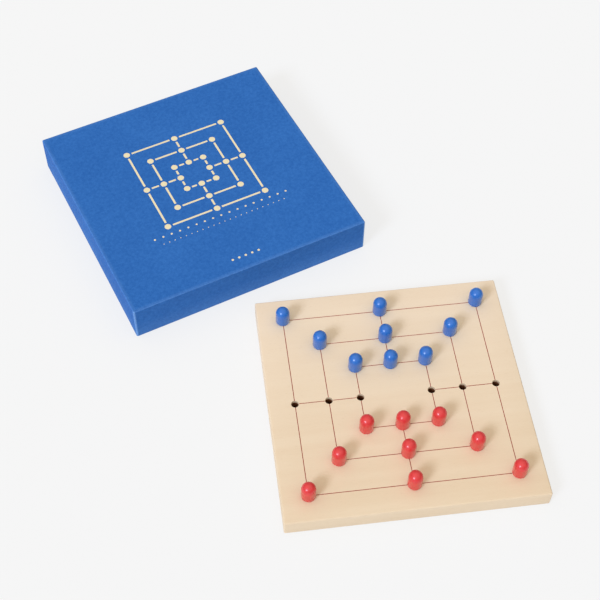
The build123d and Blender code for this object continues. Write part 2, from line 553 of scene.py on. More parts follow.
@dataclass(frozen=True)
class PaleWood:
    """Sanded, close-grained pale wood with its grain along the board, burnt where engraved,
    and paler towards the board's far edge with painted light.

    Each slimness is the width of a feature over its length along the grain.
    """

    name: str
    turn: float
    width: float
    centre: Vector
    colour: Colour = linear(237, 215, 184)
    dark: Colour = linear(230, 204, 170)
    # colour of the painted light that pales the board towards its far edge
    pale: Colour = linear(252, 232, 211)
    far_light_share: float = 0.42
    ray: Colour = linear(214, 186, 152)
    burn: Colour = linear(162, 44, 28)
    burn_span: Pair = (0.0, 0.5)
    band_width: float = 9.0 * MM
    band_slimness: float = 0.09
    band_share: float = 0.5
    fibre_width: float = 0.35 * MM
    fibre_slimness: float = 0.04
    fibre_span: Pair = (0.35, 0.65)
    fibre_share: float = 0.35
    ray_width: float = 0.5 * MM
    ray_slimness: float = 0.22
    ray_span: Pair = (0.66, 0.8)
    ray_share: float = 0.35
    relief: float = 0.012 * MM

    def across(self, graph: Graph) -> Socket:
        """Distance across the grain from the middle of the board.

        Args:
            graph: Material that it is added to.

        Returns:
            The value socket, in metres: the dot product of the place and the cross-grain axis,
            less that of the centre.
        """
        axis = (-math.sin(self.turn), math.cos(self.turn), 0.0)
        place = graph.add("ShaderNodeTexCoord").outputs["Object"]
        return graph.calc("SUBTRACT", graph.dot(place, axis), self.centre.dot(Vector(axis)))

    def grain(
        self, graph: Graph, width: float, slimness: float, detail: float = 2.0, rough: float = 0.5
    ) -> Socket:
        """Noise that is drawn out along the grain of the board."""
        return graph.noise(graph.place(-self.turn, (slimness, 1.0, 1.0)), width, detail, rough)

    def material(self) -> Finish:
        """Build the material: broad bands, long fibres, short rays, painted light that pales the board
        towards its far edge, and the burnt lines.

        Returns:
            The material.
        """
        graph = Graph(self.name)
        bands = self.grain(graph, self.band_width, self.band_slimness)
        fibres = self.grain(graph, self.fibre_width, self.fibre_slimness, detail=3.0, rough=0.6)
        rays = self.grain(graph, self.ray_width, self.ray_slimness, detail=1.0)
        band_tone = graph.ramp(bands, NOISE_SPREAD, (0.0, self.band_share))
        fibre_tone = graph.ramp(fibres, self.fibre_span, (0.0, self.fibre_share))
        wood = graph.mix(graph.calc("ADD", band_tone, fibre_tone), self.colour, self.dark)
        # painted light: nothing at the near edge, growing across the board to the far edge
        half = self.width / 2
        far_side_light = graph.ramp(self.across(graph), (-half, half), (0.0, self.far_light_share))
        flecks = graph.ramp(rays, self.ray_span, (0.0, self.ray_share))
        flecked = graph.mix(flecks, graph.mix(far_side_light, wood, self.pale), self.ray)
        colour = graph.mix(graph.ramp(graph.mark(MARKS_AND_LIGHT), self.burn_span), flecked, self.burn)
        graph.paint(colour, fibres, self.relief)
        return graph.finish(roughness=0.55, specular_ior_level=0.35)


@dataclass(frozen=True)
class DrilledWood:
    """The wall of a drilled hole: clean wood at the mouth, darker further down with painted shade."""

    name: str
    mouth: Colour = linear(216, 196, 166)
    # painted shade that darkens the wall deep in the hole
    painted_hole_shade: Colour = linear(118, 66, 28)
    ring_size: float = 0.5 * MM
    ring_stretch: Triple = (0.2, 0.2, 1.0)
    ring_share: float = 0.12
    relief: float = 0.02 * MM

    def material(self) -> Finish:
        """Build the material: the point attribute is how far down the wall the painted shade has grown.

        Returns:
            The material.
        """
        graph = Graph(self.name)
        rings = graph.noise(graph.place(stretch=self.ring_stretch), self.ring_size)
        uneven = graph.ramp(rings, NOISE_SPREAD, (-self.ring_share, self.ring_share))
        # painted shade: darker with depth, made uneven by the rings
        depth = graph.calc("ADD", graph.mark(MARKS_AND_LIGHT), uneven)
        colour = graph.mix(graph.ramp(depth, (0.0, 1.0)), self.mouth, self.painted_hole_shade)
        graph.paint(colour, rings, self.relief)
        return graph.finish(roughness=0.85)


@dataclass(frozen=True)
class Lacquer:
    """Coloured satin lacquer over turned wood."""

    name: str
    colour: Colour
    deep: Colour
    ripple_size: float = 2.2 * MM
    ripple_share: float = 0.6
    pore_width: float = 0.35 * MM
    pore_stretch: Triple = (1.0, 1.0, 0.12)
    pore_span: Pair = (0.5, 0.8)
    pore_share: float = 0.4
    pore_depth: float = 0.15
    relief: float = 0.02 * MM

    def material(self) -> Finish:
        """Build the material: a slightly uneven coat, thicker and deeper in places.

        Returns:
            The material.
        """
        graph = Graph(self.name)
        ripple = graph.noise(graph.place(), self.ripple_size)
        pores = graph.noise(graph.place(stretch=self.pore_stretch), self.pore_width)
        ripple_tone = graph.ramp(ripple, NOISE_SPREAD, (0.0, self.ripple_share))
        pore_tone = graph.ramp(pores, self.pore_span, (0.0, self.pore_share))
        colour = graph.mix(graph.calc("ADD", ripple_tone, pore_tone), self.colour, self.deep)
        height = graph.calc("ADD", ripple, graph.calc("MULTIPLY", pores, self.pore_depth))
        graph.paint(colour, height, self.relief)
        return graph.finish(
            roughness=0.45, specular_ior_level=0.3, coat_weight=1.0, coat_roughness=0.25
        )


@dataclass(frozen=True)
class StampedFoil:
    """Pale matt foil pressed into the covering paper."""

    name: str
    colour: Colour = linear(250, 236, 196)
    worn: Colour = linear(226, 206, 160)
    grain_size: float = 0.5 * MM
    grain_span: Pair = (0.45, 0.75)
    relief: float = 0.01 * MM

    def material(self) -> Finish:
        """Build the material: the paper underneath shows through the foil as fine grain.

        Returns:
            The material.
        """
        graph = Graph(self.name)
        grain = graph.noise(graph.place(), self.grain_size, detail=3.0, rough=0.6)
        colour = graph.mix(graph.ramp(grain, self.grain_span), self.colour, self.worn)
        graph.paint(colour, grain, self.relief)
        return graph.finish(roughness=0.42, metallic=0.15)


@dataclass(frozen=True)
class TableTop:
    """The plain pale surface that everything stands on. Its glow keeps the shadows faint."""

    name: str
    colour: Colour = (0.205, 0.205, 0.205, 1.0)
    shade: Colour = (0.2009, 0.2009, 0.2009, 1.0)
    drift_size: float = 0.6
    glow: float = 0.72

    def material(self) -> Finish:
        """Build the material: one even tone with the faintest drift.

        Returns:
            The material.
        """
        graph = Graph(self.name)
        drift = graph.noise(graph.place(), self.drift_size, detail=1.0)
        graph.paint(graph.mix(drift, self.colour, self.shade))
        return graph.finish(
            roughness=1.0, specular_ior_level=0.0,
            emission_color=WHITE, emission_strength=self.glow,
        )


BLUE_LINEN = CoveringPaper(
    "blue_linen_paper",
    deep=linear(28, 91, 169), pale=linear(56, 120, 198), worn_highlight=linear(118, 164, 224),
)
LEAFLET_PAPER = PlainPaper("leaflet_paper", linear(240, 236, 226), linear(222, 214, 198))
LINING_PAPER = PlainPaper("lining_paper", linear(232, 226, 212), linear(214, 204, 184))
INSERT_CARD = PlainPaper("insert_card", linear(228, 222, 208), linear(208, 198, 178))
GREYBOARD = PlainPaper("greyboard", linear(150, 142, 130), linear(96, 90, 84), speck_share=0.6)
STAY_TAPE = PlainPaper("stay_tape", linear(196, 164, 120), linear(168, 134, 92))
PEG_LACQUERS = {
    PegColour.BLUE: Lacquer("blue_lacquer", linear(22, 112, 205), linear(18, 98, 189)),
    PegColour.RED: Lacquer("red_lacquer", linear(231, 51, 54), linear(212, 39, 42)),
}


# ---- The box ----


@dataclass
class PaperShell:
    """The covering paper of one box half, turned over the rim and down the inside.

    The paper is one closed sheet. Its outline goes from the panel's edge round the outer
    fold, along the wall, over the rim and back along the inside, and returns against the
    card at one paper thickness. panel, rim and stop are the heights of the flat panel, the
    open rim and the paper's end inside. The fold, edge, lip and corner strengths say how pale
    a part is made, from 0 to 1: the lip by rubbing alone, the others by rubbing with a
    painted highlight.
    """

    name: str
    body: str
    node: str
    opening: Opening
    side: float
    bore: float
    edge_radius: float
    panel: float
    rim: float
    stop: float
    paper: float = 0.2 * MM
    rim_radius: float = 0.45 * MM
    bore_radius: float = 0.3 * MM
    tab_width: float = 13.0 * MM
    tab_rise: float = 0.1 * MM
    tab_fade: float = 0.8 * MM
    facing_least: float = 0.9
    # fold, edge and corner: pale rubbing with a painted highlight; lip: rubbing alone
    fold_rub_and_highlight: float = 0.4
    edge_rub_and_highlight: float = 0.2
    edge_highlight_reach: float = 2.6 * MM
    lip_rub: float = 0.2
    corner_rub_and_highlight: float = 1.0
    corner_highlight_reach: float = 0.6 * MM
    corner_stops: tuple[float, ...] = (0.0, 0.5, 1.2, 2.2, 4.0, 8.5)  # in millimetres
    corner_steps: int = 6
    fold_steps: int = 6
    tab_steps: int = 4
    span_steps: int = 4
    wall_stops: Pair = (2.0 * MM, 4.0 * MM)

    def side_stops(self) -> np.ndarray:
        """Stops along a side: close together near the corners and at their paper tabs' ends.

        Returns:
            The stops, from -1 to 1.
        """
        reach = self.side / 2 - self.edge_radius
        near = np.array(self.corner_stops) * MM
        tab = self.tab_width + np.linspace(-1.0, 1.0, self.tab_steps + 1) * self.tab_fade
        span = np.linspace(2.0 * self.tab_width, reach, self.span_steps + 1)
        half = 1.0 - np.concatenate([near, tab, span]) / reach
        return np.concatenate([-half, half[-2::-1]])

    def chain(self, inset: float) -> tuple[np.ndarray, np.ndarray, np.ndarray, np.ndarray]:
        """One face of the paper, from the panel's edge to the paper's inner end.

        The panel's fold and the two halves of the rim are quarter circles. The corner radius
        grows with the half size from bore_radius inside to edge_radius outside, and round the
        panel's fold it is the fold's own reach. The pale rubbing with its painted highlight on
        that fold is greatest half-way round it: the fold's strength times the squared sine of
        twice the angle, or the panel edge's strength times the sine of the angle where that
        is more.

        Args:
            inset: Distance below the outer face.

        Returns:
            Half size, corner radius, depth from the panel and the share of rubbing and painted
            highlight at each point.
        """
        outer, inner = self.side / 2, self.bore / 2
        depth, end = abs(self.panel - self.rim), abs(self.panel - self.stop)
        fold, lip = self.edge_radius - inset, self.rim_radius - inset
        over = arc(QUARTER, 0.0, self.fold_steps)
        down = arc(0.0, QUARTER, self.fold_steps)
        wall = np.array([*self.wall_stops, depth / 2])
        ends = np.array([depth / 2, end])
        centre = outer - self.edge_radius
        half = np.concatenate([
            centre + fold * np.cos(over),
            np.full(len(wall), outer - inset),
            outer - self.rim_radius + lip * np.cos(down),
            inner + self.rim_radius - lip * np.cos(down[::-1]),
            np.full(len(ends), inner + inset),
        ])
        level = np.concatenate([
            self.edge_radius - fold * np.sin(over),
            wall,
            depth - self.rim_radius + lip * np.sin(down),
            depth - self.rim_radius + lip * np.sin(down[::-1]),
            ends,
        ])
        share = np.clip((half - inner) / (outer - inner), 0.0, 1.0)
        radius = self.bore_radius + share * (self.edge_radius - inset - self.bore_radius)
        radius[: len(over)] = fold * np.cos(over)
        marks_and_light = np.zeros_like(half)
        # painted highlight with rubbing round the outer fold; rubbing alone over the rim
        fold_rub_and_glint = self.fold_rub_and_highlight * np.sin(2.0 * over) ** 2
        marks_and_light[: len(over)] = np.maximum(fold_rub_and_glint, self.edge_rub_and_highlight * np.sin(over))
        marks_and_light[len(over) + len(wall): -len(ends)] = self.lip_rub
        return half, radius, level, marks_and_light

    def tabs(self, loop: RoundedLoop, level: np.ndarray) -> np.ndarray:
        """How far the tucked corner tabs lift the paper of the two sides that cover them.

        The lift is tab_rise on the sides that face X, from each corner to tab_width. It fades
        there over tab_fade each way, below the panel's fold over two of its radii, and round
        the corner until the normal's share of X is down to facing_least.

        Args:
            loop: The path round the box.
            level: Depth from the panel at each point of the outline.

        Returns:
            Lift at each point of path and outline.
        """
        reach = self.side / 2 - self.edge_radius
        facing = ease((np.abs(loop.outward[:, 0]) - self.facing_least) / (1.0 - self.facing_least))
        gap = (1.0 - np.abs(loop.along[:, 1])) * reach
        near = ease((self.tab_width + self.tab_fade - gap) / (2.0 * self.tab_fade))
        below = ease((level - self.edge_radius) / (2.0 * self.edge_radius))
        return self.tab_rise * np.outer(facing * near, below)

    def build(self, paper: Finish) -> Piece:
        """Make the covering paper and put it on its body.

        The pale rubbing with its painted highlight also fades out from each upright corner over
        the corner's reach, and on the panel from its edge over the edge's reach.

        Args:
            paper: Its finish.

        Returns:
            The piece.
        """
        stops = self.side_stops()
        loop = RoundedLoop.through(stops, self.corner_steps)
        skin = Skin()
        face, back = self.chain(0.0), self.chain(self.paper)
        half, radius, level, marks_and_light = (np.concatenate([a, b[::-1]]) for a, b in zip(face, back))
        height = self.panel + self.opening.value * level
        points = loop.carry(half, half, radius, height)
        turned_in = (self.fold_steps + 1) + 2  # the rim's inner half and the inner wall's ends
        outside = np.arange(len(half)) < len(face[0]) - turned_in
        lift = self.tabs(loop, level) * outside
        points[..., :2] += lift[..., None] * loop.outward[:, None, :]
        reach = (self.side / 2 - self.edge_radius) * stops
        from_corner = (1.0 - np.abs(loop.along).min(1)) * reach[-1]
        # painted highlight with rubbing down each upright corner, on the outside only
        corner = self.corner_rub_and_highlight * ease(1.0 - from_corner / self.corner_highlight_reach)
        rub_and_highlight = np.maximum(marks_and_light, np.outer(corner, outside & (level > 0.0)))
        skin.grid(points, marks_and_light=rub_and_highlight, closed=True)
        # painted highlight with rubbing on the panel, fading in from its edge
        from_edge = reach[-1] - np.maximum(*np.abs(np.meshgrid(reach, reach, indexing="ij")))
        edge = self.edge_rub_and_highlight * ease(1.0 - from_edge / self.edge_highlight_reach)
        skin.grid(flat_sheet(reach, reach, self.panel), marks_and_light=edge)
        skin.grid(flat_sheet(reach, reach, self.panel + self.opening.value * self.paper))
        made = skin.piece(self.name, [paper])
        seat(made, self.body, "blue_wrap", self.node)
        return made


@dataclass
class FoilOrnament:
    """Pale foil on the lid: a traditional board diagram of dots and bars, and rows of dots.

    Each dot or bar is its own thin plate with eased edges, pressed into the paper.
    """

    top: float
    centre: Pair = (0.0, 9.0 * MM)
    squares: tuple[float, ...] = (86.0 * MM, 56.0 * MM, 26.0 * MM)
    bar_width: float = 1.7 * MM
    dot_radius: float = 2.7 * MM
    gap: float = 1.6 * MM
    proud: float = 0.03 * MM
    sunk: float = 0.05 * MM
    easing: float = 0.02 * MM
    row_height: float = -42.0 * MM
    row_pitch: float = 7.2 * MM
    row_count: int = 17
    row_dot: float = 0.85 * MM
    fine_height: float = -49.0 * MM
    fine_pitch: float = 4.8 * MM
    fine_count: int = 23
    fine_dot: float = 0.42 * MM
    foot_height: float = -87.5 * MM
    foot_pitch: float = 5.6 * MM
    foot_count: int = 5
    foot_dot: float = 1.0 * MM
    corner_steps: int = 6

    def plate(self, skin: Skin, place: Pair, half: Pair, radius: float) -> None:
        """Add one plate: a level top, an eased edge and a wall that ends inside the paper.

        Args:
            skin: What it is added to.
            place: Its middle.
            half: Its half sizes.
            radius: Its corner radius.
        """
        ends = np.array([-1.0, 1.0])
        loop = RoundedLoop.through(ends, self.corner_steps)
        inset = np.array([radius, self.easing, 0.0, 0.0, radius])
        base, brow = self.top - self.sunk, self.top + self.proud
        height = np.array([brow, brow, brow - self.easing, base, base])
        points = loop.carry(half[0] - inset, half[1] - inset, radius - inset, height)
        shift = Vector((*place, 0.0))
        skin.grid(turned(points, 0.0, shift), closed=True)
        for level in (brow, base):
            flat = flat_sheet(ends * (half[0] - radius), ends * (half[1] - radius), level)
            skin.grid(turned(flat, 0.0, shift))

    def bars(self, skin: Skin, u: float, v: float, run: float) -> None:
        """Add a bar along X at u, v from the diagram's middle, and one along Y at v, u.

        The corner radius of a bar is a quarter of its width.

        Args:
            skin: What they are added to.
            u: First place.
            v: Second place.
            run: Half a bar's length.
        """
        x, y = self.centre
        self.plate(skin, (x + u, y + v), (run, self.bar_width / 2), self.bar_width / 4)
        self.plate(skin, (x + v, y + u), (self.bar_width / 2, run), self.bar_width / 4)

    def diagram(self) -> Skin:
        """Dots at the twenty-four points of the board and bars between neighbours.

        Returns:
            Their surfaces.
        """
        skin = Skin()
        x, y = self.centre
        trim = self.dot_radius + self.gap
        for square in self.squares:
            arm = square / 2
            for u, v in ((-1, -1), (0, -1), (1, -1), (1, 0), (1, 1), (0, 1), (-1, 1), (-1, 0)):
                self.plate(skin, (x + u * arm, y + v * arm), (self.dot_radius,) * 2, self.dot_radius)
            for u in (-0.5, 0.5):
                for v in (-1, 1):
                    self.bars(skin, u * arm, v * arm, arm / 2 - trim)
        for inner, outer in zip(self.squares[1:], self.squares[:-1]):
            for sign in (-1, 1):
                self.bars(skin, sign * (inner + outer) / 4, 0.0, (outer - inner) / 4 - trim)
        return skin

    def row(self, skin: Skin, height: float, pitch: float, count: int, radius: float) -> None:
        """Add a row of dots that is centred on the lid.

        Args:
            skin: What they are added to.
            height: Y of the row.
            pitch: Distance from dot to dot.
            count: Number of dots.
            radius: Radius of a dot.
        """
        for step in range(count):
            self.plate(skin, ((step - (count - 1) / 2) * pitch, height), (radius, radius), radius)

    def build(self, foil: Finish) -> None:
        """Make the diagram and the rows and put them on the lid.

        Args:
            foil: Their finish.
        """
        seat(self.diagram().piece("lid_foil_diagram", [foil]), "lid", "blue_wrap")
        rows = Skin()
        self.row(rows, self.row_height, self.row_pitch, self.row_count, self.row_dot)
        self.row(rows, self.fine_height, self.fine_pitch, self.fine_count, self.fine_dot)
        self.row(rows, self.foot_height, self.foot_pitch, self.foot_count, self.foot_dot)
        seat(rows.piece("lid_foil_dots", [foil]), "lid", "blue_wrap")


@dataclass
class Leaflet:
    """The folded rules sheet: two leaves and one bend, the upper leaf sprung open a little."""

    low: Vector
    high: Vector
    sheet: float = 0.15 * MM
    spring: float = 0.5 * MM
    bend_steps: int = 10
    leaf_steps: int = 24
    length_steps: int = 16

    def centreline(self) -> tuple[np.ndarray, np.ndarray]:
        """Middle of the sheet in X and Z.

        The lower leaf is level. The bend is half a circle. The upper leaf rises from it by
        spring times the square of its share of the width.

        Returns:
            X and Z of each point, from one free edge to the other.
        """
        bend = (self.high.z - self.low.z - self.sheet) / 2
        share = np.linspace(0.0, 1.0, self.leaf_steps + 1)
        run = self.high.x - self.low.x - bend - self.sheet / 2
        hinge = self.low.x + bend + self.sheet / 2
        middle = self.low.z + self.sheet / 2 + bend
        turn = arc(-QUARTER, -3 * QUARTER, self.bend_steps)[1:-1]
        x = np.concatenate([hinge + run * share[::-1], hinge + bend * np.cos(turn), hinge + run * share])
        z = np.concatenate([
            np.full_like(share, middle - bend),
            middle + bend * np.sin(turn),
            middle + bend + self.spring * share**2,
        ])
        return x, z

    def build(self, paper: Finish) -> Piece:
        """Make the leaflet: both faces at half a thickness from its middle, carried along Y.

        Args:
            paper: Its finish.

        Returns:
            The piece.
        """
        x, z = self.centreline()
        slope = np.stack([np.gradient(x), np.gradient(z)])
        normal = np.stack([-slope[1], slope[0]]) / np.hypot(*slope) * self.sheet / 2
        loop = np.stack([
            np.concatenate([x + normal[0], (x - normal[0])[::-1]]),
            np.concatenate([z + normal[1], (z - normal[1])[::-1]]),
        ])
        y = np.linspace(self.low.y, self.high.y, self.length_steps + 1)
        shape = (len(y), loop.shape[1])
        points = np.stack([
            np.broadcast_to(loop[0], shape),
            np.broadcast_to(y[:, None], shape),
            np.broadcast_to(loop[1], shape),
        ], 2)
        skin = Skin()
        skin.grid(points.transpose(1, 0, 2), closed=True)
        edges = np.stack([points[:, : len(x)], points[:, len(x):][:, ::-1]], 2)
        for end in (0, -1):
            skin.grid(edges[end])
        made = skin.piece("folded_leaflet", [paper])
        seat(made, "rules_leaflet", "leaflet_paper", "rules_leaflet")
        return made


# ---- The playing board and its pegs ----


@dataclass
class PlayingBoard:
    """The wooden board: eased edges, engraved squares and twenty-four drilled holes.

    The top is a grid whose lines run beside each engraved line and round each hole. Its
    height is the thickness less the carved depth, which grows from nothing at a line's
    edge to the full depth at its floor. Round each hole the grid's square cell is a ring
    that goes from the cell's border to the mouth and on down the wall.
    """

    low: Vector
    high: Vector
    turn: float = math.radians(-19.7)
    side: float = 190.0 * MM
    edge_radius: float = 1.2 * MM
    squares: tuple[float, ...] = (150.7 * MM, 100.3 * MM, 53.2 * MM)
    hole_radius: float = 2.8 * MM
    hole_depth: float = 9.5 * MM
    mouth_easing: float = 0.15 * MM
    # painted shade in the holes starts this far down and grows to full over the next depth
    hole_shade_start: float = 1.75 * MM
    hole_shade_depth: float = 0.9 * MM
    line_width: float = 0.6 * MM
    line_floor: float = 0.3 * MM
    line_depth: float = 0.25 * MM
    cell: float = 4.0 * MM
    cell_steps: int = 5
    ring_shares: tuple[float, ...] = (1.0, 0.55, 0.2, 0.0)
    mouth_steps: int = 3
    hole_shade_steps: int = 4
    edge_steps: int = 5
    corner_steps: int = 6

    def offsets(self) -> np.ndarray:
        """Grid lines on one side of a hole's middle: the engraved line's edges, then even steps."""
        beyond = np.linspace(self.line_width / 2, self.cell, self.cell_steps + 1)
        return np.concatenate([[self.line_floor / 2], beyond])

    def ranks(self) -> np.ndarray:
        """Distances from the middle of the board at which lines and holes lie, both ways."""
        arms = np.array(self.squares) / 2
        return np.sort(np.concatenate([-arms, [0.0], arms]))

    def holes(self) -> np.ndarray:
        """Middles of the holes: corners and side middles of each square."""
        spots = np.array([[u, v] for u in (-1, 0, 1) for v in (-1, 0, 1) if (u, v) != (0, 0)])
        return (np.array(self.squares)[:, None, None] / 2 * spots).reshape(-1, 2)

    def lines(self) -> np.ndarray:
        """Lay out the engraved lines: four to each square, and four that join the squares.

        Returns:
            A row for each line: X and Y of its middle, then its half length in X and in Y.
        """
        outer, inner = self.squares[0], self.squares[-1]
        middle, reach = (outer + inner) / 4, (outer - inner) / 4
        rows = []
        for sign in (-1, 1):
            rows += [(0.0, sign * square / 2, square / 2, 0.0) for square in self.squares]
            rows += [(sign * square / 2, 0.0, 0.0, square / 2) for square in self.squares]
            rows += [(sign * middle, 0.0, reach, 0.0), (0.0, sign * middle, 0.0, reach)]
        return np.array(rows)

    def carving(self, x: np.ndarray, y: np.ndarray) -> np.ndarray:
        """Share of the full depth that is carved away at each point.

        The distance to a line is the larger of the distances in X and in Y beyond its half
        length, and the share falls from 1 at the floor's edge to 0 at the line's edge.

        Args:
            x: X of the points on the board.
            y: Y of the points on the board.

        Returns:
            The share, of the same shape.
        """
        middle_x, middle_y, long_x, long_y = self.lines().T
        away_x = np.maximum(np.abs(x[..., None] - middle_x) - long_x, 0.0)
        away_y = np.maximum(np.abs(y[..., None] - middle_y) - long_y, 0.0)
        away = np.maximum(away_x, away_y).min(-1)
        wall = (self.line_width - self.line_floor) / 2
        return np.clip((self.line_width / 2 - away) / wall, 0.0, 1.0)

    def add_top(self, skin: Skin, stops: np.ndarray) -> None:
        """Add the top without the cells of the holes.

        Args:
            skin: What it is added to.
            stops: Grid lines in X and in Y.
        """
        points = flat_sheet(stops, stops, self.high.z)
        carved = self.carving(points[..., 0], points[..., 1])
        points[..., 2] -= self.line_depth * carved
        middles = (stops[1:] + stops[:-1]) / 2
        near = np.abs(middles[:, None] - self.holes().T[:, None, :]) < self.cell
        inside = (near[0][:, None, :] & near[1][None, :, :]).any(-1)
        skin.grid(self.stand(points), marks_and_light=carved, keep=~inside)

    def add_hole(self, skin: Skin, middle: np.ndarray) -> None:
        """Add the ring round one hole, and its wall and floor.

        The rim's angles keep the engraved line's edges straight up to the mouth and are even
        beyond them. Rows go from the cell's border to the rim, each with its share of the
        border's place and the rest of the rim's, then over the eased mouth, down the wall
        and in to the middle of the floor.

        Args:
            skin: What it is added to.
            middle: X and Y of the hole on the board.
        """
        side = self.offsets()
        offsets = np.concatenate([-side[::-1], side])
        rim = self.hole_radius + self.mouth_easing
        knots = np.array([0.0, self.line_floor / 2, self.line_width / 2, self.cell])
        angles = np.arcsin(np.minimum(knots / rim, 1.0))
        angles[-1] = QUARTER / 2
        bearing = np.sign(offsets) * np.interp(np.abs(offsets), knots, angles)
        quarter = np.stack([np.full_like(offsets, self.cell), offsets], 1)
        turns = [np.array([[c, s], [-s, c]]) for c, s in ((1, 0), (0, 1), (-1, 0), (0, -1))]
        border = np.concatenate([quarter @ turn for turn in turns])
        ring = np.concatenate([np.stack([np.cos(bearing), np.sin(bearing)], 1) @ turn for turn in turns])
        share = np.array(self.ring_shares)[None, :, None]
        land = share * border[:, None, :] + (1.0 - share) * rim * ring[:, None, :] + middle
        carved = self.carving(land[..., 0], land[..., 1])
        surface = np.concatenate([land, (self.high.z - self.line_depth * carved)[..., None]], 2)
        skin.grid(self.stand(surface), marks_and_light=carved, closed=True)

        mouth = arc(0.0, QUARTER, self.mouth_steps)
        radii = self.hole_radius + self.mouth_easing * (1.0 - np.sin(mouth))
        top = surface[:, -1:, 2] - self.mouth_easing * (1.0 - np.cos(mouth))
        # painted shade down the wall: none over the mouth, growing over its band, full on the lower wall
        # and floor
        burn = np.linspace(0.0, 1.0, self.hole_shade_steps + 1)
        shaded_levels = self.hole_shade_start + self.hole_shade_depth * burn
        levels = self.high.z - np.concatenate([shaded_levels, [self.hole_depth, self.hole_depth]])
        radii = np.concatenate([radii, np.full(len(levels) - 1, self.hole_radius), [0.0]])
        depth = np.concatenate([top, np.tile(levels, (len(ring), 1))], 1)
        wall = np.concatenate([ring[:, None, :] * radii[:, None] + middle, depth[..., None]], 2)
        burnt = np.concatenate([np.zeros(len(mouth)), ease(burn), np.ones(2)])
        skin.grid(self.stand(wall), finish=1, marks_and_light=np.broadcast_to(burnt, wall.shape[:2]), closed=True)

    def stand(self, points: np.ndarray) -> np.ndarray:
        """Turn points on the board to where it stands on the table."""
        middle = (self.low + self.high) / 2
        return turned(points, self.turn, Vector((middle.x, middle.y, 0.0)))

    def build(self, wood: Finish, drilled: Finish) -> Piece:
        """Make the board and put it on its body.

        Its edges are quarter circles of edge_radius, below and above, carried round the board.

        Args:
            wood: Finish of its faces.
            drilled: Finish of the holes' walls.

        Returns:
            The piece.
        """
        reach = self.side / 2 - self.edge_radius
        ranks, side = self.ranks(), self.offsets()
        near = (ranks[:, None] + np.concatenate([-side[::-1], side])).reshape(-1)
        stops = np.concatenate([[-reach], near, [reach]])
        skin = Skin()
        self.add_top(skin, stops)
        for middle in self.holes():
            self.add_hole(skin, middle)
        loop = RoundedLoop.through(stops / reach, self.corner_steps)
        below, above = arc(-QUARTER, 0.0, self.edge_steps), arc(0.0, QUARTER, self.edge_steps)
        radius = self.edge_radius * np.cos(np.concatenate([below, above]))
        height = np.concatenate([
            self.edge_radius * (1.0 + np.sin(below)),
            self.high.z - self.edge_radius * (1.0 - np.sin(above)),
        ])
        skin.grid(self.stand(loop.carry(reach + radius, reach + radius, radius, height)), closed=True)
        skin.grid(self.stand(flat_sheet(stops, stops, 0.0)))
        made = skin.piece("wooden_board", [wood, drilled])
        seat(made, "playing_board", "pale_wood", "playing_board")
        return made


@dataclass
class Peg:
    """One turned peg: a spigot in its hole, a shoulder, a rounded foot and a domed head."""

    colour: PegColour
    number: int
    shoulder: float
    spigot_radius: float = 2.7 * MM
    spigot_easing: float = 0.6 * MM
    foot_radius: float = 0.7 * MM
    segments: int = 56
    foot_steps: int = 5
    dome_steps: int = 16

    def profile(self, low: float, high: float, radius: float) -> tuple[np.ndarray, np.ndarray]:
        """Outline of the peg from the middle of its spigot to the top of its dome.

        The foot is a quarter circle of foot_radius, and the dome one of the head's radius.

        Args:
            low: Z of the spigot's end.
            high: Z of the dome's top.
            radius: Radius of the head.

        Returns:
            Radius and Z of each point.
        """
        foot = arc(-QUARTER, 0.0, self.foot_steps)
        dome = arc(0.0, QUARTER, self.dome_steps)
        tip = self.spigot_radius - self.spigot_easing
        out = np.concatenate([
            [0.0, tip, self.spigot_radius, self.spigot_radius],
            radius - self.foot_radius + self.foot_radius * np.cos(foot),
            radius * np.cos(dome),
        ])
        up = np.concatenate([
            [low, low, low + self.spigot_easing, self.shoulder],
            self.shoulder + self.foot_radius * (1.0 + np.sin(foot)),
            high - radius + radius * np.sin(dome),
        ])
        out[-1] = 0.0
        return out, up

    def build(self, lacquer: Finish) -> Piece:
        """Make the peg by turning its outline about its axis, and put it on its body.

        Args:
            lacquer: Its finish.

        Returns:
            The piece.
        """
        node = f"{self.colour.value}_peg_{self.number}"
        low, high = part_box(node)
        radius = (high.x - low.x) / 2
        out, up = self.profile(low.z, high.z, radius)
        centre = ((low.x + high.x) / 2, (low.y + high.y) / 2)
        skin = Skin()
        skin.grid(spun(out, up, self.segments, centre), closed=True)
        made = skin.piece(f"{self.colour.value}_turned_peg_{self.number}", [lacquer])
        seat(made, node, f"{self.colour.value}_lacquer", node)
        return made


# ---- Pieces kept from the frame ----


def dress(node: str, finish: Finish) -> None:
    """Give a node of the frame its finish.

    Args:
        node: Name of the node.
        finish: Its finish.
    """
    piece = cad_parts[node]
    if piece.data.materials:
        piece.data.materials[0] = finish
    else:
        piece.data.materials.append(finish)
    LOG.info("%s is kept and dressed", node)


# ---- Studio ----


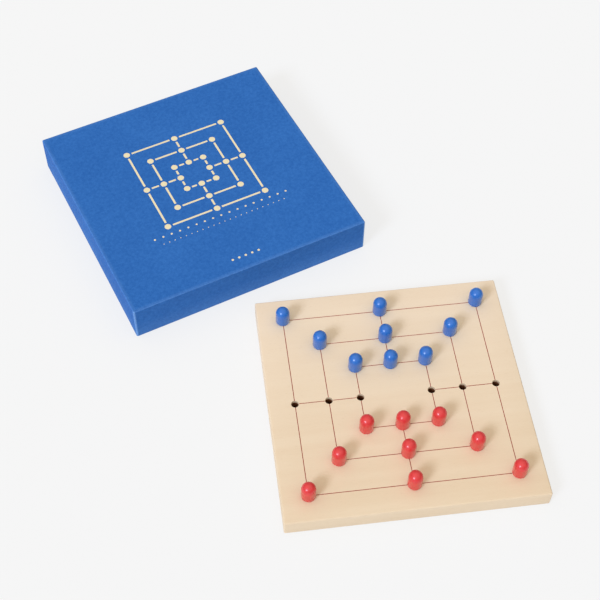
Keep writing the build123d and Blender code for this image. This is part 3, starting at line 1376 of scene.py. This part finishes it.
@dataclass(frozen=True)
class Studio:
    """Table, soft light and camera.

    sight is the nearest and furthest distance that the camera sees. The key light's azimuth
    is taken from +X towards +Y, and its width is how large its disc looks.
    """

    eye: Triple = (-0.2415, -0.6385, 0.7915)
    forward: Triple = (0.27552, 0.52337, -0.80633)
    roll: float = math.radians(0.914)
    lens_mm: float = 74.185
    sensor_mm: float = 36.0
    sight: Pair = (0.01, 100.0)
    key_azimuth: float = math.radians(202.0)
    key_elevation: float = math.radians(37.0)
    key_width: float = math.radians(17.0)
    key_strength: float = 1.45
    key_colour: Triple = (0.87, 1.0, 1.26)
    fill_colour: Colour = (1.05, 1.0, 0.90, 1.0)
    fill_strength: float = 0.06
    fill_slope: Triple = (-0.10, -0.01, 0.975)
    table_radius: float = 16.0
    table_rings: int = 12
    table_segments: int = 48
    backdrop_glow: float = 0.92

    def sweep(self, name: str, out: np.ndarray, up: np.ndarray, finish: Finish) -> Piece:
        """Turn an outline about +Z and make an object of it.

        Args:
            name: Name of the object.
            out: Radius at each point of the outline.
            up: Z at each point of the outline.
            finish: Its finish.

        Returns:
            The object.
        """
        skin = Skin()
        skin.grid(spun(out, up, self.table_segments), closed=True)
        return skin.piece(name, [finish])

    def lay_table(self) -> None:
        """Make the table, a wide disc, and a pale dome beyond it that only the camera sees.

        The disc's rings crowd towards the middle: their radii are the cubes of even steps.
        """
        radii = self.table_radius * np.linspace(0.0, 1.0, self.table_rings + 1) ** 3
        self.sweep("table", radii, np.zeros_like(radii), TableTop("table_top").material())
        rise = arc(0.0, QUARTER, self.table_rings)
        pale = Graph("backdrop").finish(
            base_color=BLACK, specular_ior_level=0.0,
            emission_color=WHITE, emission_strength=self.backdrop_glow,
        )
        out, up = self.table_radius * np.cos(rise), self.table_radius * np.sin(rise)
        backdrop = self.sweep("backdrop", out, up, pale)
        for ray in ("diffuse", "glossy", "transmission", "shadow"):
            setattr(backdrop, f"visible_{ray}", False)

    def light(self) -> None:
        """Put up a broad key light from the left, and a fill that is strongest overhead.

        The fill's strength in a direction is fill_strength plus the direction's dot product
        with fill_slope, and never below nothing.
        """
        key = bpy.data.lights.new("key", "SUN")
        key.energy = self.key_strength
        key.angle = self.key_width
        key.color = self.key_colour
        lamp = bpy.data.objects.new("key", key)
        flat = math.cos(self.key_elevation)
        across = (flat * math.cos(self.key_azimuth), flat * math.sin(self.key_azimuth))
        towards = Vector((*across, math.sin(self.key_elevation)))
        lamp.rotation_mode = "QUATERNION"
        lamp.rotation_quaternion = towards.to_track_quat("Z", "Y")
        bpy.context.scene.collection.objects.link(lamp)

        world = bpy.data.worlds.new("fill")
        world.use_nodes = True
        nodes = Nodes(world.node_tree)
        direction = nodes.add("ShaderNodeTexCoord").outputs["Generated"]
        total = nodes.calc("ADD", nodes.dot(direction, self.fill_slope), self.fill_strength)
        sky = world.node_tree.nodes["Background"]
        world.node_tree.links.new(nodes.calc("MAXIMUM", total, 0.0), sky.inputs["Strength"])
        sky.inputs["Color"].default_value = self.fill_colour
        bpy.context.scene.world = world

    def aim(self) -> None:
        """Set up the camera."""
        lens = bpy.data.cameras.new("camera")
        lens.lens = self.lens_mm
        lens.sensor_width = self.sensor_mm
        lens.clip_start, lens.clip_end = self.sight
        camera = bpy.data.objects.new("camera", lens)
        camera.rotation_mode = "QUATERNION"
        level = Vector(self.forward).to_track_quat("-Z", "Y")
        camera.rotation_quaternion = level @ Quaternion((0.0, 0.0, 1.0), self.roll)
        camera.location = self.eye
        bpy.context.scene.collection.objects.link(camera)
        bpy.context.scene.camera = camera

    def build(self) -> None:
        """Set the whole studio up, with colours shown as they are."""
        self.lay_table()
        self.light()
        self.aim()
        bpy.context.scene.view_settings.view_transform = "Standard"


def main() -> None:
    """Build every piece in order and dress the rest."""
    logging.basicConfig(level=logging.INFO, format="%(message)s")
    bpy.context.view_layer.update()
    Studio().build()

    blue_paper = BLUE_LINEN.material()
    lid_low, lid_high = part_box("lid_wrap")
    tray_low, tray_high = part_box("tray_wrap")
    bore_low, bore_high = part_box("lid_liner")
    bay_low, bay_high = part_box("tray_floor_liner")
    PaperShell(
        "lid_paper", "lid", "lid_wrap", Opening.DOWN,
        side=lid_high.x - lid_low.x, bore=bore_high.x - bore_low.x, edge_radius=1.0 * MM,
        panel=lid_high.z, rim=lid_low.z, stop=bore_high.z,
    ).build(blue_paper)
    PaperShell(
        "tray_paper", "base_tray", "tray_wrap", Opening.UP,
        side=tray_high.x - tray_low.x, bore=bay_high.x - bay_low.x, edge_radius=0.8 * MM,
        panel=tray_low.z, rim=tray_high.z, stop=bay_low.z,
    ).build(blue_paper)
    FoilOrnament(top=lid_high.z).build(StampedFoil("pale_foil").material())
    Leaflet(*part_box("rules_leaflet")).build(LEAFLET_PAPER.material())

    board = PlayingBoard(*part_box("playing_board"))
    wood = PaleWood("pale_wood", board.turn, board.side, (board.low + board.high) / 2).material()
    board.build(wood, DrilledWood("drilled_wood").material())
    lacquers = {colour: lacquer.material() for colour, lacquer in PEG_LACQUERS.items()}
    for colour, lacquer in lacquers.items():
        for number in range(1, PEGS_A_SIDE + 1):
            Peg(colour, number, shoulder=board.high.z).build(lacquer)

    for paper, slot, nodes in (
        (LINING_PAPER, "liner_paper", ("lid_liner", "tray_floor_liner")),
        (INSERT_CARD, "insert_card", ("insert_platform",)),
        (GREYBOARD, "greyboard", ("lid_greyboard", "tray_greyboard")),
        (STAY_TAPE, "stay_tape", ("lid_corner_stays", "tray_corner_stays")),
    ):
        finish = paper.material()
        for node in nodes:
            dress(node, finish)


if __name__ == "__main__":
    main()
